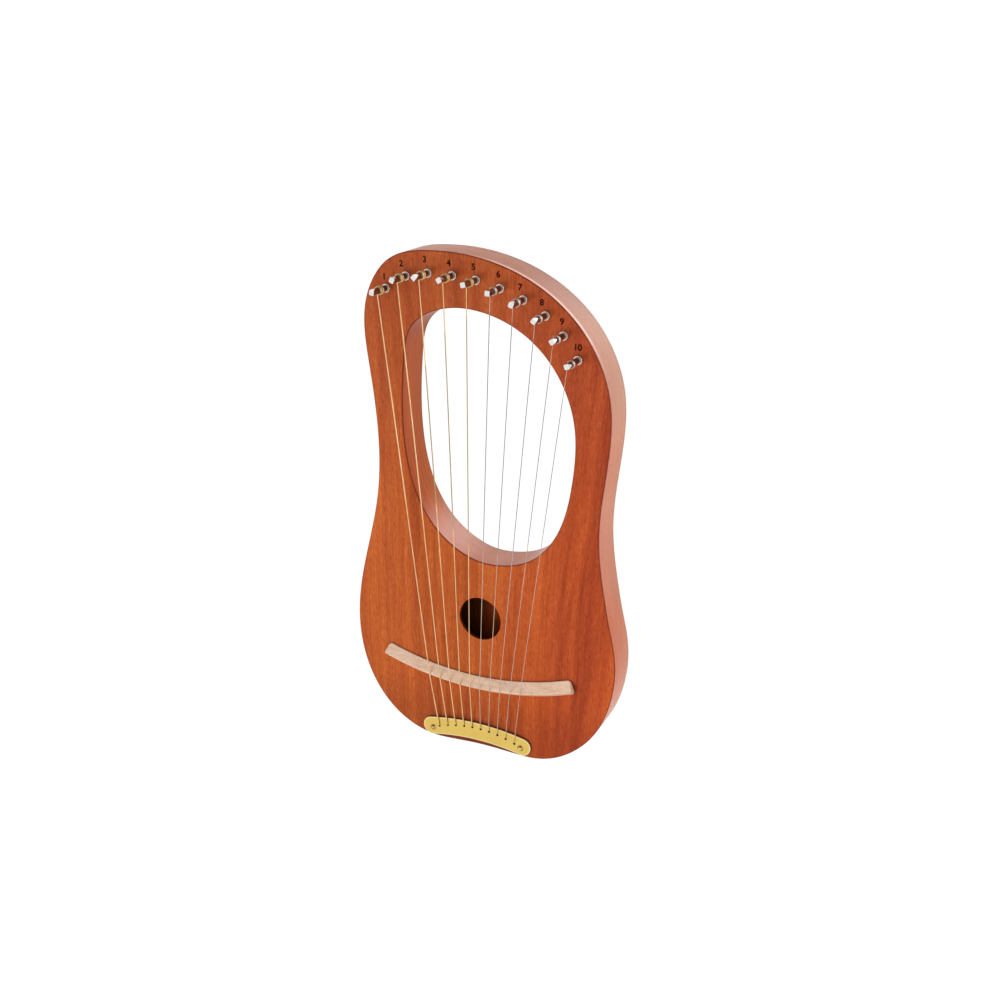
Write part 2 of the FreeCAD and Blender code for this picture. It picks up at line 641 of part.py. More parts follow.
def coil_path(i, lead_end):
    """Coil on the pin: edges, start, start direction and height of the cross hole.

    It starts beside the end of the lead-in turn, climbs clockwise towards the head,
    then bends into the cross hole of the pin.
    """
    radius, wrap_r = wire_radius(i), wrap_radius(i)
    pin_x, pin_z = PINS[i]
    first_angle = math.atan2(lead_end.z - pin_z, lead_end.x - pin_x)
    part_turn = (first_angle - COIL_EARLY) % (2 * math.pi)
    turned = 2 * math.pi * int(size("coil_turns")) + part_turn
    climb = (2 * radius + size("coil_pitch_add")) / (2 * math.pi)
    low = size("lead_" + TAGS[i]) + 2 * radius + size("turn_gap")

    def point(t):
        angle = first_angle - turned * t
        return over_face(pin_x + wrap_r * math.cos(angle), low + climb * turned * t,
                         pin_z + wrap_r * math.sin(angle))

    def direction(t):
        angle = first_angle - turned * t
        return V(wrap_r * math.sin(angle), -climb, -wrap_r * math.cos(angle)).normalize()

    steps = int(math.ceil(turned / ARC_STEP))
    stations = [k / float(steps) for k in range(steps + 1)]
    edges = []
    for a, b in zip(stations, stations[1:]):
        edges += arc_pair(point(a), direction(a), point(b), direction(b))
    leave, along = point(1.0), direction(1.0)
    corner = leave + along * ((pin_z - leave.z) / along.z)
    end = V(pin_x + WIRE_END, corner.y, pin_z)
    last_bend = bend(leave, corner, end, radius + TIGHT_BEND_ADD)
    edges += [
        Part.makeLine(leave, last_bend[0]),
        Part.Arc(*last_bend).toShape(),
        Part.makeLine(last_bend[2], end),
    ]
    return edges, point(0), direction(0), FRONT - corner.y


def sweep(edges, start, direction, radius):
    """Round wire along a path."""
    profile = Part.Wire([Part.makeCircle(radius, start, direction)])
    solid = Part.Wire(edges).makePipeShell([profile], True, False)
    # the sweep may come back as a shell, or as a solid turned inside out
    if solid.ShapeType != "Solid":
        solid = Part.Solid(Part.Shell(solid.Faces))
    if solid.Volume < 0:
        solid.reverse()
    return solid


# ------------------------------------------------------------------ tuning pins
CROSS_LONG = 12         # length of the cross hole cutter


def primitive(kind, name, placement, **bindings):
    """Part primitive with its properties bound to expressions."""
    item = doc.addObject("Part::" + kind, name)
    for prop, expression in bindings.items():
        item.setExpression(prop, expression)
    item.Placement = placement
    return item


def cut(name, base, tool):
    item = doc.addObject("Part::Cut", name)
    item.Base = base
    item.Tool = tool
    return item


def make_pin(i, cross_height):
    """Shaft with a tapered square head, rounded corners, a domed end and a cross hole."""
    tag = TAGS[i]
    x, z = PINS[i]
    upright = FreeCAD.Rotation(V(1, 0, 0), 90)      # axis +Z turned to -Y
    # axis +Y turned to -Y, then spun by a different angle for each pin
    spun = FreeCAD.Rotation(V(0, 1, 0), (17 * i + 9) % 90).multiply(
        FreeCAD.Rotation(V(1, 0, 0), 180))

    def place(height, rotation):
        return FreeCAD.Placement(over_face(x, height, z), rotation)

    shaft = primitive("Cylinder", "shaft_" + tag, place(-size("pin_in"), upright),
                      Radius="Params.pin_r", Height="Params.pin_in + Params.pin_out")
    dome = primitive("Sphere", "dome_" + tag,
                     place(size("pin_out") - size("head_dome_r"), upright),
                     Radius="Params.head_dome_r")
    head_base = size("pin_out") - size("head_long")
    wedge = primitive("Wedge", "wedge_" + tag, place(head_base, spun),
                      Ymax="Params.head_long + 0.5",
                      Xmin="-Params.head_root / 2", Xmax="Params.head_root / 2",
                      Zmin="-Params.head_root / 2", Zmax="Params.head_root / 2",
                      X2min="-Params.head_tip / 2", X2max="Params.head_tip / 2",
                      Z2min="-Params.head_tip / 2", Z2max="Params.head_tip / 2")
    wedge.Ymin = 0
    square = doc.addObject("Part::MultiCommon", "square_" + tag)
    square.Shapes = [wedge, dome]
    sleeve = primitive("Cylinder", "sleeve_" + tag, place(head_base, upright),
                       Radius="2 * Params.pin_r", Height="Params.head_long + 2")
    waste = cut("waste_" + tag, sleeve, square)
    whole = cut("whole_" + tag, shaft, waste)
    cross_place = FreeCAD.Placement(over_face(x - CROSS_LONG / 2, cross_height, z),
                                    FreeCAD.Rotation(V(0, 1, 0), 90))
    cross = primitive("Cylinder", "cross_" + tag, cross_place,
                      Radius="Params.gauge_%s / 2 + Params.cross_play" % tag)
    cross.Height = CROSS_LONG
    pin = cut("tuning_pin_" + tag, whole, cross)
    pin.Label = "tuning_pin_" + tag


def make_string_and_pin(i):
    run, run_start, lead_end = run_path(i)
    coil, coil_start, coil_direction, cross_height = coil_path(i, lead_end)
    make_pin(i, cross_height)
    radius = wire_radius(i)
    add_shape("string_" + TAGS[i], sweep(run, run_start, OUTWARD, radius))
    add_shape("string_coil_" + TAGS[i], sweep(coil, coil_start, coil_direction, radius))


# ------------------------------------------------------------------ build and write
make_boards()
make_rims()
make_pin_block()
make_tail_block()
make_braces()
make_bridge()
make_tail_plate()
make_turned_parts()
for i in range(len(PINS)):
    make_string_and_pin(i)

doc.recompute()
for item in doc.Objects:
    if "Invalid" in item.State or "Error" in item.State:
        raise RuntimeError("object %s is in error: %s" % (item.Name, item.State))

NODES = [
    "soundboard", "back_board", "outer_rim", "opening_rim", "pin_block", "tail_block",
    "brace_upper", "brace_lower", "back_brace", "bridge", "tailpiece_plate",
    "tailpiece_screws", "pin_bushings", "string_ball_ends",
]
for tag in TAGS:
    NODES += ["tuning_pin_" + tag, "string_" + tag, "string_coil_" + tag]

os.makedirs("parts", exist_ok=True)
for node in NODES:
    found = [item for item in doc.Objects if item.Label == node]
    if len(found) != 1:
        raise RuntimeError("label %s found %d times" % (node, len(found)))
    shape = found[0].Shape
    if shape.isNull() or not shape.isValid():
        raise RuntimeError("bad shape " + node)
    shape.exportStep("parts/%s.step" % node)
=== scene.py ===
"""Looks of a ten-string lyre harp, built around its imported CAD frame.

Metres. +X is to the right seen from the front, +Y to the back, +Z up. The face of the
body looks towards -Y, and the sound hole is centred on X = Z = 0.
"""

import json
import math
from functools import cached_property

import bmesh
import bpy
from mathutils import Matrix, Vector

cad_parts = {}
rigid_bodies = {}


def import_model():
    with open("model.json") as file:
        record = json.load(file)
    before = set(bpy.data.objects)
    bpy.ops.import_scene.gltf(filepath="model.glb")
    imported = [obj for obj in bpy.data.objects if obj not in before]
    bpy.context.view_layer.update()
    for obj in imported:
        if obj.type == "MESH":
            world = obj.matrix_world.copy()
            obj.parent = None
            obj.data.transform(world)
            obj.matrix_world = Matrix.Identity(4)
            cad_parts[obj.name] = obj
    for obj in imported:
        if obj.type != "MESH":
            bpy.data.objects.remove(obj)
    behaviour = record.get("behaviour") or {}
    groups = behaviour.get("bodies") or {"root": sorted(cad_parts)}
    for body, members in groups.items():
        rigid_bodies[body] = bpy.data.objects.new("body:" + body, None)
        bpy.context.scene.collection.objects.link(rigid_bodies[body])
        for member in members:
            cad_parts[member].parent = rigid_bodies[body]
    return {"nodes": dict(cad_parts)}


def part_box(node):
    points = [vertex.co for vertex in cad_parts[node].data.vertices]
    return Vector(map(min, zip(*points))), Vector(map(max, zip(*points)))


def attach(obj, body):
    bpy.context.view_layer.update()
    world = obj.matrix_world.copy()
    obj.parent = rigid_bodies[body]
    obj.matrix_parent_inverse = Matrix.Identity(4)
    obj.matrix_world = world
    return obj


for leftover in list(bpy.data.objects):
    bpy.data.objects.remove(leftover)

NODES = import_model()["nodes"]
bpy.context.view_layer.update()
scene = bpy.context.scene

# Planes of the body
FACE_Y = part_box("soundboard")[0].y
LOW_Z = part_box("soundboard")[0].z
BACK_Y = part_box("back_board")[1].y
MID_Y = (FACE_Y + BACK_Y) / 2

OPENING_X, OPENING_Z = 0.006, 0.150         # middle of the hand opening
HOLE_RADIUS = 0.020                         # sound hole
HOLE_BLEND = 0.0004                         # the stain of its wall fades over this, each way

# The tailpiece plate follows an arc bulging upwards
PLATE_X, PLATE_Z = -0.0042, -0.3053         # centre of the arc
PLATE_ARC = 0.200                           # radius of its middle line
PLATE_HALF_ANGLE = math.radians(12.1)
PLATE_HALF_WIDTH = 0.0081

STRINGS = 10
WOUND_STRINGS = 5                           # the longest ones
WINDING_PITCH = 0.00026

SHADE_LEAN = (-0.30, 0.0, -0.70)            # towards the lower left, where the light comes from
UNLIT = (0, 0, 0)


# ----------------------------------------------------------------- node helpers
def operator(operation, swapped=False):
    """A Python operator that adds one Math node."""
    def method(self, other):
        pair = (other, self) if swapped else (self, other)
        return self.nodes.calc(operation, *pair)
    return method


class Signal:
    """An output socket; arithmetic on it adds nodes, so brackets shape the tree."""

    def __init__(self, nodes, socket):
        self.nodes = nodes
        self.socket = socket

    __add__ = operator("ADD")
    __radd__ = operator("ADD", swapped=True)
    __sub__ = operator("SUBTRACT")
    __rsub__ = operator("SUBTRACT", swapped=True)
    __mul__ = operator("MULTIPLY")
    __pow__ = operator("POWER")

    def __abs__(self):
        return self.nodes.calc("ABSOLUTE", self)

    def fade(self, start, end, low=0.0, high=1.0, smooth=True):
        """Low where the value is at start, high where it is at end."""
        return self.nodes.node("MapRange", (self, start, end, low, high),
                               interpolation_type="SMOOTHSTEP" if smooth else "LINEAR")


class Nodes:
    """Short words for adding and wiring the nodes of one shader tree."""

    def __init__(self, tree):
        self.tree = tree

    def put(self, socket, value):
        """Link a signal, or set a plain value; colours get their alpha."""
        if isinstance(value, Signal):
            self.tree.links.new(value.socket, socket)
            return
        if isinstance(value, tuple) and len(value) < len(socket.default_value):
            value = (*value, 1.0)
        socket.default_value = value

    def node(self, kind, inputs=(), output=0, **settings):
        """Add a node; inputs go by place, or by key if they are a dict."""
        node = self.tree.nodes.new("ShaderNode" + kind)
        for name, value in settings.items():
            setattr(node, name, value)
        for key, value in inputs.items() if isinstance(inputs, dict) else enumerate(inputs):
            self.put(node.inputs[key], value)
        return Signal(self, node.outputs[output])

    def calc(self, operation, *values):
        return self.node("Math", values, operation=operation)

    def length(self, across, along):
        return self.calc("SQRT", across * across + along * along)

    def split(self, vector):
        """The X, Y and Z signals of a vector."""
        node = self.node("SeparateXYZ", (vector,)).socket.node
        return [Signal(self, socket) for socket in node.outputs]

    def join(self, parts, scales):
        """A vector of three signals, each multiplied by its scale."""
        return self.node("CombineXYZ", [part * scale for part, scale in zip(parts, scales)])

    def mix(self, amount, first, second, blend="MIX"):
        return self.node("Mix", {0: amount, 6: first, 7: second}, output=2,
                         data_type="RGBA", blend_type=blend)

    def mix_vector(self, amount, first, second):
        return self.node("Mix", {0: amount, 4: first, 5: second}, output=1, data_type="VECTOR")

    def mix_float(self, amount, first, second):
        return self.node("Mix", {0: amount, 2: first, 3: second}, data_type="FLOAT")

    def camera_ray(self):
        return self.node("LightPath", output="Is Camera Ray")


class Material(Nodes):
    """A Principled material; its colour is built up layer by layer in self.color."""

    def __init__(self, name):
        self.material = bpy.data.materials.new(name)
        self.material.use_nodes = True
        super().__init__(self.material.node_tree)
        self.tree.nodes.clear()
        output = self.tree.nodes.new("ShaderNodeOutputMaterial")
        self.shader = self.tree.nodes.new("ShaderNodeBsdfPrincipled")
        self.tree.links.new(self.shader.outputs[0], output.inputs[0])

    @cached_property
    def place(self):
        return self.node("TexCoord", output="Object")

    @cached_property
    def normal(self):
        return self.node("NewGeometry", output="Normal")

    def cover(self, amount, color):
        """Lay another colour over the colour so far."""
        self.color = self.mix(amount, self.color, color)

    def tint(self, amount, by):
        """Multiply the colour so far by three factors."""
        self.cover(amount, self.mix(1.0, self.color, by, "MULTIPLY"))

    def noise(self, vector, detail, rough=0.5, distortion=0.0):
        inputs = {"Vector": vector, "Scale": 1.0, "Detail": detail, "Roughness": rough,
                  "Distortion": distortion}
        return self.node("TexNoise", inputs, output="Fac", noise_dimensions="3D")

    def texture(self, scales, detail, rough=0.5):
        """Noise with its own number of cells per metre along X, Y and Z."""
        vector = self.node("VectorMath", (self.place, scales), operation="MULTIPLY")
        return self.noise(vector, detail, rough)

    def ramp(self, value, stops):
        result = self.node("ValToRGB", (value,))
        elements = result.socket.node.color_ramp.elements
        while len(elements) < len(stops):
            elements.new(0.5)
        for element, (position, color) in zip(elements, stops):
            element.position = position
            element.color = (*color, 1.0)
        return result

    def bump(self, height, distance, strength, normal=None):
        inputs = {"Strength": strength, "Distance": distance, "Height": height}
        if normal is not None:
            inputs["Normal"] = normal
        return self.node("Bump", inputs)

    def contact(self, distance, lean=(0, 0, 0), samples=8):
        """1 in the open, falling to 0 near other surfaces; lean turns the side looked at."""
        leaning = self.node("VectorMath", (self.normal, lean), operation="ADD")
        leaning = self.node("VectorMath", (leaning,), operation="NORMALIZE")
        inputs = {"Distance": distance, "Normal": leaning}
        return self.node("AmbientOcclusion", inputs, output="AO", samples=samples)

    def edge(self, radius):
        """1 on edges narrower than the radius, 0 on flats."""
        rounded = self.node("Bevel", {"Radius": radius}, samples=6)
        agreement = self.node("VectorMath", (rounded, self.normal), output="Value",
                              operation="DOT_PRODUCT")
        return agreement.fade(0.995, 0.86)

    def finish(self, **inputs):
        """Set the shader's inputs, with _ for each space, and return the material."""
        self.put(self.shader.inputs["Base Color"], self.color)
        for name, value in inputs.items():
            self.put(self.shader.inputs[name.replace("_", " ")], value)
        return self.material


def scaled(color, factors):
    return tuple(min(1.0, part * factor) for part, factor in zip(color, factors))


# ----------------------------------------------------------------- mahogany
# colour of the ground wood along its tone
MAHOGANY_STOPS = [(0.34, (0.215, 0.031, 0.0040)), (0.46, (0.345, 0.058, 0.0070)),
                  (0.57, (0.450, 0.086, 0.0110)), (0.68, (0.530, 0.118, 0.0180)),
                  (0.84, (0.60, 0.160, 0.032))]

# dark streaks of the face: place across the grain, half width, strength
TILTED_STREAKS = [(0.0925, 0.0042, 0.55), (0.0835, 0.0024, 0.34), (0.0755, 0.0030, 0.38),
                  (0.1020, 0.0034, 0.40), (0.0665, 0.0018, 0.22)]
LONG_STREAKS = [(0.093, 0.006, 0.62), (0.066, 0.0035, 0.40), (0.034, 0.0022, 0.22),
                (-0.013, 0.0028, 0.20), (-0.049, 0.0035, 0.22), (-0.083, 0.005, 0.30),
                (0.108, 0.004, 0.34)]


class Mahogany(Material):
    """Satin mahogany of the boards and rims; the grain runs along Z."""

    def __init__(self, name):
        super().__init__(name)
        self.xyz = x, y, z = self.split(self.place)
        self.facing = self.split(self.normal)
        self.face = abs(self.facing[1]).fade(0.55, 0.80)     # 1 on boards, 0 on rims
        # slow wander of the grain, which leans a little on the right
        self.wander = self.noise(self.join((x, y, z), (5, 14, 7)), detail=2)
        ripple = self.noise(self.join((x, y, z), (20, 10, 34)), detail=2)
        lean = x.fade(0.02, 0.12, smooth=False) * (z * 0.10)
        self.across = x - lean + (self.wander - 0.5) * 0.016 + (ripple - 0.5) * 0.0022
        self.depth = y * 1.0

    def rim_side(self):
        return 1.0 - self.face

    def outward(self):
        """Positive where the surface looks away from the middle of the hand opening."""
        x, _, z = self.xyz
        nx, _, nz = self.facing
        return nx * (x - OPENING_X) + nz * (z - OPENING_Z)

    def inward_side(self):
        return self.outward().fade(0.0, -0.02)

    def grain(self, rim, board, detail, rough):
        """Noise stretched along the grain, with cells per metre for rims and for boards."""
        x, _, z = self.xyz
        vector = self.mix_vector(self.face, self.join((x, self.depth, z), rim),
                                 self.join((self.across, self.depth, z), board))
        return self.noise(vector, detail, rough)

    def board_grain(self, scales, distortion=0.0):
        vector = self.join((self.across, self.depth, self.xyz[2]), scales)
        return self.noise(vector, detail=2, distortion=distortion)

    def lay_ground(self):
        streak = self.grain(rim=(5, 190, 5), board=(130, 30, 2.6), detail=5, rough=0.62)
        self.fibre = self.grain(rim=(26, 1300, 26), board=(760, 90, 17), detail=3, rough=0.65)
        pores = self.grain(rim=(190, 2300, 190), board=(2100, 400, 165), detail=2, rough=0.5)
        self.pore = pores.fade(0.575, 0.69)
        self.broad = self.board_grain((24, 20, 2.2))
        self.ribbon = self.board_grain((52, 8, 13), distortion=0.6)
        streak = self.mix_float(self.face, 0.31 + streak * 0.38, streak)
        tone = streak * 0.50 + (self.fibre * 0.36 + self.broad * 0.29)
        self.color = self.ramp(tone, MAHOGANY_STOPS)

    def add_figure(self):
        x, _, z = self.xyz
        # redder and deeper towards the right of the face
        self.tint(self.across.fade(-0.020, 0.092) * self.face, by=(0.97, 0.74, 0.80))
        # tilted dark figure on the right of the lower bout
        tilt = x - z * 0.19
        low = z.fade(0.095, 0.030)
        for middle, half_width, strength in TILTED_STREAKS:
            distance = abs(tilt + (self.wander - 0.5) * 0.010 - middle)
            streak = distance.fade(half_width * 2.2, 0.0) * low * self.face
            self.tint(streak * (self.ribbon.fade(0.25, 0.60) * strength),
                      by=(0.60, 0.40, 0.44))
        # the upper left corner is a little deeper
        corner = z.fade(0.215, 0.285) * x.fade(-0.045, -0.092) * self.face
        self.tint(corner * 0.55, by=(0.80, 0.68, 0.66))
        # long dark heartwood streaks
        for middle, half_width, strength in LONG_STREAKS:
            distance = abs(self.across - middle)
            streak = distance.fade(half_width * 1.9, 0.0) * self.broad.fade(0.30, 0.62)
            self.tint(streak * self.face * strength, by=(0.60, 0.36, 0.42))
        # light ribbon patches that fade along the grain
        self.tint(self.ribbon.fade(0.40, 0.68) * 0.20, by=(1.22, 1.34, 1.40))

    def add_flecks(self):
        """Short fibre flecks, paler and darker than the ground, and dark pores."""
        fleck = self.grain(rim=(120, 900, 120), board=(950, 200, 260), detail=3, rough=0.7)
        amount = self.mix_float(self.face, 0.35, 1.0)
        self.tint(fleck.fade(0.52, 0.74) * (amount * 0.85), by=(1.26, 1.66, 2.9))
        self.tint(fleck.fade(0.48, 0.26) * (amount * 0.85), by=(0.80, 0.58, 0.36))
        self.tint(self.pore * amount * 0.62, by=(0.36, 0.24, 0.24))

    def shade_boards_and_rims(self):
        x, y, z = self.xyz
        _, ny, nz = self.facing
        # a thin dark line on the rounded edges of the boards
        flatness = abs(ny)
        rounding = flatness.fade(0.985, 0.90) * flatness.fade(0.10, 0.34)
        patchy = self.texture((40, 40, 40), detail=2).fade(0.15, 0.55, low=0.55)
        self.tint(rounding * patchy * 0.78, by=(0.38, 0.14, 0.11))
        # the arch and arms are a little browner than the belly
        self.tint(z.fade(0.06, 0.21) * self.face, by=(0.83, 0.775, 0.92))
        # painted shade on the walls of the hand opening, except where they look up
        shaded_walls = self.rim_side() * self.inward_side() * nz.fade(0.75, 0.15)
        self.tint(shaded_walls, by=(0.90, 0.82, 0.89))
        # painted sheen: the rims are paler and whiter towards the back, as the satin finish
        # catches the room at a grazing angle
        self.backness = y.fade(FACE_Y + 0.002, BACK_Y - 0.003, smooth=False)
        rim_sheen = self.mix(self.backness, (0.95, 0.95, 1.00), (0.90, 1.14, 1.42))
        self.tint(self.rim_side(), by=rim_sheen)

    def shade_outer_rim(self):
        x, y, z = self.xyz
        _, ny, nz = self.facing
        outer = self.rim_side() * self.outward().fade(-0.01, 0.01)
        # painted sheen on the right shoulder, whitest towards its top
        shoulder_sheen = outer * z.fade(0.150, 0.205) * x.fade(-0.030, 0.030)
        self.tint(shoulder_sheen,
                  by=self.mix(z.fade(0.168, 0.205), (0.85, 1.10, 1.30), (0.87, 1.17, 2.40)))
        # painted shade: the upward-looking top of the right rim is toned down
        crest_shade = outer * nz.fade(0.50, 0.80) * x.fade(0.015, 0.045)
        self.tint(crest_shade, by=(0.88, 0.80, 0.80))
        # painted highlight: a light line just behind the front edge of the shoulder, where its
        # rounding catches the light
        line = (y.fade(FACE_Y + 0.0010, FACE_Y + 0.0018)
                * y.fade(FACE_Y + 0.0058, FACE_Y + 0.0034))
        line = line * outer * (nz.fade(0.30, 0.70) * x.fade(-0.015, 0.025))
        self.cover(line * 0.75, (0.82, 0.50, 0.40))
        # a dark line along the back edge
        rear = y.fade(BACK_Y - 0.0024, BACK_Y - 0.0010) * abs(ny).fade(0.90, 0.70)
        self.tint(rear * 0.55, by=(0.55, 0.60, 0.66))
        # painted shade on the right flank beside the sound hole, deepest at the front
        self.hip = (outer * z.fade(0.050, 0.018)
                    * (z.fade(-0.065, -0.030) * x.fade(0.0, 0.05)))
        self.tint(self.hip, by=self.mix(self.backness, (0.93, 0.79, 0.60), (0.97, 0.89, 0.80)))

    def shade_hollows(self):
        x, y, z = self.xyz
        _, ny, nz = self.facing
        # painted shade on the upward-looking floor of the hand opening, mostly in green and
        # blue
        self.tint(self.rim_side() * nz.fade(0.45, 0.85) * self.inward_side(),
                  by=(0.99, 0.90, 0.80))
        # the narrow strip of wood under the plate lies in its shade
        from_plate_x = x - PLATE_X
        radius = self.length(from_plate_x, z - PLATE_Z)
        under = radius.fade(0.1925, 0.1912) * (abs(from_plate_x).fade(0.052, 0.040)
                                               * y.fade(FACE_Y + 0.006, FACE_Y + 0.003))
        self.tint(under * z.fade(-0.080, -0.100), by=(0.50, 0.40, 0.36))
        # tail end of the boards
        self.tint(z.fade(-0.060, -0.100) * self.face, by=(0.86, 0.82, 0.80))
        # painted shade on the wood inside the sound box, deepest on the left
        hollow_shade = abs(y - MID_Y).fade(0.0146, 0.0140) * self.face
        self.tint(hollow_shade, by=self.mix(x.fade(-0.020, -0.004),
                                      (0.20, 0.22, 0.27), (0.62, 0.52, 0.40)))
        # the cut wall of the sound hole is stained dark
        radius_squared = x * x + z * z
        wall = radius_squared.fade((HOLE_RADIUS + HOLE_BLEND) ** 2,
                                   (HOLE_RADIUS - HOLE_BLEND) ** 2) * abs(ny).fade(0.60, 0.30)
        self.tint(wall * 0.85, by=(0.14, 0.12, 0.12))
        # painted contact shade beside the bridge, the plate and the bushings
        near = self.contact(0.0055, SHADE_LEAN, samples=10)
        contact_shade = near.fade(0.90, 0.45) * self.face * z.fade(0.21, 0.16, low=0.40)
        self.tint(contact_shade * 0.80, by=(0.16, 0.10, 0.10))

    def relief(self):
        """Pores and fibres on a slow wave."""
        height = self.pore * -1.0 + self.fibre * 0.22
        fine = self.bump(height, distance=0.00005, strength=0.55)
        wave = self.texture((34, 34, 34), detail=2)
        return self.bump(wave, distance=0.0003, strength=0.10, normal=fine)

    def specular(self):
        """The outer rims are rubbed glossier than the face; the opening's walls are flatter."""
        x, _, z = self.xyz
        nx, _, nz = self.facing
        inward = self.inward_side()
        up_outside = nz.fade(0.15, 0.90)
        up_inside = nz.fade(0.38, 0.95)
        # glossier right shoulder, with a duller band below it
        sheen = z.fade(0.150, 0.175) * z.fade(0.255, 0.205) * 0.31
        sheen = sheen - z.fade(0.108, 0.128) * z.fade(0.155, 0.142) * 0.13
        sheen = sheen * x.fade(-0.02, 0.06)
        rims = self.mix_float(inward, self.mix_float(up_outside, 0.50, 0.24) + sheen,
                              self.mix_float(up_inside, 0.08, 0.85))
        level = self.mix_float(self.face, rims, 0.27)
        # the floor of the opening shines in its middle and dulls where it looks left
        opening_floor = self.rim_side() * inward * nz.fade(0.45, 0.85)
        middle = opening_floor * (nx.fade(0.45, 0.15) * nx.fade(-0.22, -0.02))
        level = level + middle * 0.35
        level = level * (1.0 - opening_floor * nx.fade(-0.05, -0.30) * 0.45)
        return level * (1.0 - self.hip * self.mix_float(self.backness, 0.42, 0.15))

    def build(self):
        self.lay_ground()
        self.add_figure()
        self.add_flecks()
        self.shade_boards_and_rims()
        self.shade_outer_rim()
        self.shade_hollows()
        return self.finish(
            Normal=self.relief(), IOR=1.45, Specular_IOR_Level=self.specular(),
            Roughness=self.fibre.fade(0.2, 0.8, low=0.30, high=0.42) + self.pore * 0.16)


# ----------------------------------------------------------------- other materials
def pale_wood(name, stops, grain, fine, rough, fleck, coat=0.0, end_light_gain=None):
    """Pale wood; grain and fine are cells per metre, fleck the strength of the flecks."""
    mat = Material(name)
    streak = mat.texture(grain, detail=4, rough=0.6)
    fibre = mat.texture(fine, detail=3, rough=0.65)
    flecks = mat.texture(tuple(scale * 2.1 for scale in fine), detail=1).fade(0.60, 0.70)
    mat.color = mat.ramp(streak * 0.45 + fibre * 0.55, stops)
    mat.tint(flecks * fleck, by=(0.62, 0.48, 0.40))
    if end_light_gain:
        # painted light: the end faces, looking along X, are made paler
        nx = mat.split(mat.normal)[0]
        mat.tint(abs(nx).fade(0.55, 0.80), by=(end_light_gain, end_light_gain * 0.98, end_light_gain * 0.97))
    # painted highlight along the edges
    mat.tint(mat.edge(0.0006) * 0.35, by=(1.12, 1.10, 1.06))
    return mat.finish(Roughness=fibre.fade(0.2, 0.8, low=rough - 0.07, high=rough + 0.07),
                      Normal=mat.bump(fibre + flecks * -0.7, distance=0.00004, strength=0.7),
                      Coat_Weight=coat, Coat_Roughness=0.3)


def buff_plate_border(mat):
    """A painted highlight, a millimetre wide, along the outline of the plate."""
    x, _, z = mat.split(mat.place)
    from_x = x - PLATE_X
    from_z = z - PLATE_Z
    off_arc = mat.length(from_x, from_z) - PLATE_ARC
    angle = abs(mat.calc("ARCTAN2", from_x, from_z))
    past_end = mat.calc("MAXIMUM", angle - PLATE_HALF_ANGLE, 0.0) * PLATE_ARC
    distance = mat.length(off_arc, past_end)
    rim = distance.fade(PLATE_HALF_WIDTH - 0.0013, PLATE_HALF_WIDTH - 0.0008)
    mat.cover(rim * 0.8, (1.0, 0.87, 0.47))


def brass(name, base, rough, brush, polished=False, even=False, bordered=False):
    """Brass; brush is the cells per metre of the brushing lines."""
    mat = Material(name)
    lines = mat.texture(brush, detail=3, rough=0.6)
    cloud = mat.texture((70, 70, 70), detail=3, rough=0.6)
    spots = mat.texture((620, 620, 620), detail=2, rough=0.6).fade(0.62, 0.74)
    edge = mat.edge(0.0005)
    dark = scaled(base, (0.80, 0.70, 0.52))
    mat.color = mat.mix(cloud.fade(0.30, 0.62, low=0.75 if even else 0.0), dark, base)
    mat.cover(lines.fade(0.35, 0.75) * 0.35, scaled(base, (1.06, 1.10, 1.35)))
    mat.cover(spots * (0.1 if polished or even else 0.30), dark)
    # painted highlight on the edges
    edge_highlight_gain = (1.0, 1.18, 1.7) if polished else (1.10, 1.28, 2.4)
    mat.cover(edge * 0.9, scaled(base, edge_highlight_gain))
    if polished:
        # painted shade: darker off the crown
        crown = abs(mat.split(mat.normal)[1]).fade(0.80, 0.985)
        mat.cover((1.0 - crown) * 0.88, (0.36, 0.19, 0.03))
    if bordered:
        buff_plate_border(mat)
    # painted shade in the holes and the slots, and a painted contact shadow where two pieces
    # meet
    if polished:
        deep = mat.contact(0.0007).fade(0.55, 0.22)
        mat.cover(deep * 0.80, (0.22, 0.09, 0.015))
    else:
        deep = mat.contact(0.0016).fade(0.66, 0.34)
        near = mat.contact(0.0030, SHADE_LEAN).fade(0.88, 0.50)
        mat.tint(near * 0.75, by=(0.46, 0.36, 0.26))
        mat.cover(deep * 0.94, (0.016, 0.008, 0.003))
    roughness = lines.fade(0.25, 0.75, low=rough - 0.06, high=rough + 0.07) + spots * 0.12
    brushed = mat.bump(lines, distance=0.00002, strength=0.12 if polished else 0.45)
    return mat.finish(
        Metallic=1.0, Roughness=roughness - edge * 0.10,
        Normal=mat.bump(cloud, distance=0.00025, strength=0.05, normal=brushed))


def darken_pin(mat, smudge, y, shank):
    """Painted shade: the shank is coloured much darker than the bright head."""
    tip = y.fade(FACE_Y - 0.0158, FACE_Y - 0.0170)
    # the flats of the head catch less of the room than its end
    nx, ny, nz = mat.split(mat.normal)
    flat = abs(ny).fade(0.75, 0.40)
    shade = nx.fade(0.05, 0.75) * 0.62 + nz.fade(0.30, 0.95) * 0.22
    mat.cover(flat * shade, (0.06, 0.045, 0.04))
    shank_shade = mat.mix(smudge.fade(0.4, 0.72), shank, scaled(shank, (0.7, 0.7, 0.7)))
    mat.color = mat.mix(tip, shank_shade, mat.color)


